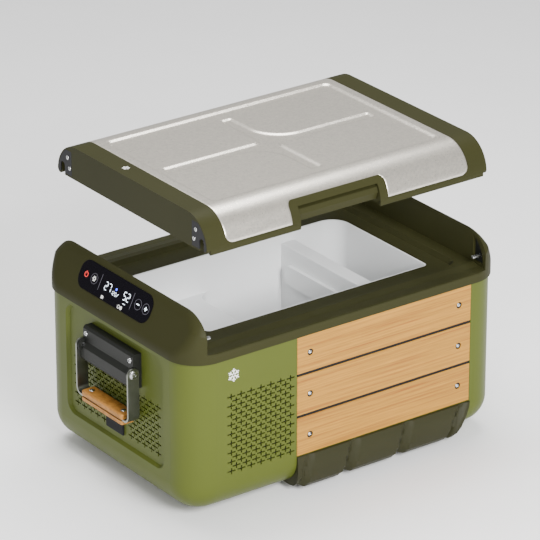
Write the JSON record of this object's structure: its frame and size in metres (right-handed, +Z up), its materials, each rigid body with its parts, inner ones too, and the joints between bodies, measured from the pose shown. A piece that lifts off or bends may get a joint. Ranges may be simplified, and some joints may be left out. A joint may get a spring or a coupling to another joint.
{
  "type": "compressor cooler fridge",
  "caption": "Portable compressor cooler fridge with lift-off latched lid, white insulated liner, bamboo side slats, sloping control panel and swinging carry handles.",
  "frame": {"origin": "on the floor under the middle of the bounding box", "axes": "+X towards the plain end, -X is the control panel end, -Y is the front, +Z up"},
  "size_m": [0.63, 0.408, 0.488],
  "materials": {
    "shell_green": "satin",
    "dark_plastic": "matte",
    "soft_rubber": "matte",
    "trim_olive": "satin",
    "bumper_olive": "satin",
    "steel_hardware": "satin",
    "keeper_grey": "satin",
    "liner_white": "satin",
    "foam_cream": "matte",
    "slat_wood": "satin",
    "compressor_black": "satin",
    "plate_aluminium": "satin",
    "board_green": "satin",
    "panel_gloss": "gloss",
    "strap_steel": "satin",
    "grip_wood": "satin",
    "lid_metal": "brushed",
    "bracket_black": "satin"
  },
  "bodies": {
    "body": {"outer_shell": "shell_green", "front_vent_grille": "shell_green", "rear_vent_grille": "shell_green", "end_vent_grille": "shell_green", "base_pan": "dark_plastic", "rubber_feet": "soft_rubber", "top_frame": "trim_olive", "keeper_plates": "keeper_grey", "front_keeper_pins": "steel_hardware", "inner_liner": "liner_white", "zone_divider": "liner_white", "insulation_foam": "foam_cream", "front_slat_top": "slat_wood", "front_slat_middle": "slat_wood", "front_slat_bottom": "slat_wood", "rear_slat_top": "slat_wood", "rear_slat_middle": "slat_wood", "rear_slat_bottom": "slat_wood", "slat_screws": "steel_hardware", "front_bumper": "bumper_olive", "rear_bumper": "bumper_olive", "compressor": "compressor_black", "fan_shroud": "dark_plastic", "condenser": "plate_aluminium", "control_board": "board_green", "evaporator_plates": "plate_aluminium", "drain_plug": "soft_rubber", "power_socket": "dark_plastic", "control_panel": "panel_gloss", "handle_bracket_left": "keeper_grey", "handle_bracket_right": "keeper_grey", "bracket_screws": "steel_hardware"},
    "hinge_pins": {"rear_hinge_pins": "steel_hardware"},
    "lid": {"lid_frame": "trim_olive", "lid_cover": "lid_metal", "lid_inner_panel": "liner_white", "lid_foam": "foam_cream", "lid_seal": "soft_rubber", "lid_end_brackets": "bracket_black", "lid_bracket_screws": "steel_hardware"},
    "front_bar": {"front_latch_bar": "trim_olive"},
    "rear_bar": {"rear_latch_bar": "trim_olive"},
    "front_hooks": {"front_latch_hooks": "steel_hardware"},
    "rear_hooks": {"rear_latch_hooks": "steel_hardware"},
    "left_handle": {"handle_strap_left": "strap_steel", "grip_upper_left": "grip_wood", "grip_lower_left": "grip_wood", "grip_screws_left": "steel_hardware", "pivot_screws_left": "steel_hardware"},
    "right_handle": {"handle_strap_right": "strap_steel", "grip_upper_right": "grip_wood", "grip_lower_right": "grip_wood", "grip_screws_right": "steel_hardware", "pivot_screws_right": "steel_hardware"},
    "fan": {"fan_rotor": "dark_plastic"},
    "socket_flap": {"socket_cover": "soft_rubber"},
    "power_key": {"power_button": "panel_gloss"},
    "settings_key": {"settings_button": "panel_gloss"},
    "minus_key": {"minus_button": "panel_gloss"},
    "plus_key": {"plus_button": "panel_gloss"}
  },
  "joints": [
    {"name": "lid_open", "type": "hinge", "parent": "body", "child": "hinge_pins", "pos_m": [0, 0.1805, 0.2965], "axis": [-1, 0, 0], "range_deg": [0, 80]},
    {"name": "lid_lift", "type": "slide", "parent": "hinge_pins", "child": "lid", "axis": [0, 0, 1], "range_m": [-0.153, 0.05]},
    {"name": "front_pull", "type": "hinge", "parent": "lid", "child": "front_bar", "pos_m": [0, -0.1745, 0.4625], "axis": [-1, 0, 0], "range_deg": [0, 20], "stiffness_Nm_per_rad": 0.4},
    {"name": "rear_pull", "type": "hinge", "parent": "lid", "child": "rear_bar", "pos_m": [0, 0.1745, 0.4625], "axis": [1, 0, 0], "range_deg": [0, 20], "stiffness_Nm_per_rad": 0.4},
    {"name": "front_release", "type": "hinge", "parent": "lid", "child": "front_hooks", "pos_m": [0, -0.1635, 0.4595], "axis": [1, 0, 0], "range_deg": [0, 25]},
    {"name": "rear_release", "type": "hinge", "parent": "lid", "child": "rear_hooks", "pos_m": [0, 0.1635, 0.4595], "axis": [-1, 0, 0], "range_deg": [0, 25]},
    {"name": "left_handle_swing", "type": "hinge", "parent": "body", "child": "left_handle", "pos_m": [-0.303, 0, 0.21], "axis": [0, 1, 0], "range_deg": [0, 90]},
    {"name": "right_handle_swing", "type": "hinge", "parent": "body", "child": "right_handle", "pos_m": [0.303, 0, 0.21], "axis": [0, -1, 0], "range_deg": [0, 90]},
    {"name": "fan_spin", "type": "hinge", "parent": "body", "child": "fan", "pos_m": [-0.274, -0.074, 0.118], "axis": [1, 0, 0], "continuous": true},
    {"name": "socket_flap_hinge", "type": "hinge", "parent": "body", "child": "socket_flap", "pos_m": [-0.2879, 0.004, 0.087], "axis": [0, -1, 0], "range_deg": [0, 110]},
    {"name": "power_press", "type": "slide", "parent": "body", "child": "power_key", "axis": [0.896, 0, -0.444], "range_m": [0, 0.0008], "stiffness_N_per_m": 400},
    {"name": "settings_press", "type": "slide", "parent": "body", "child": "settings_key", "axis": [0.896, 0, -0.444], "range_m": [0, 0.0008], "stiffness_N_per_m": 400},
    {"name": "minus_press", "type": "slide", "parent": "body", "child": "minus_key", "axis": [0.896, 0, -0.444], "range_m": [0, 0.0008], "stiffness_N_per_m": 400},
    {"name": "plus_press", "type": "slide", "parent": "body", "child": "plus_key", "axis": [0.896, 0, -0.444], "range_m": [0, 0.0008], "stiffness_N_per_m": 400}
  ],
  "couplings": [
    {"joint": "front_release", "follows": "front_pull", "ratio": 1.25},
    {"joint": "rear_release", "follows": "rear_pull", "ratio": 1.25}
  ]
}
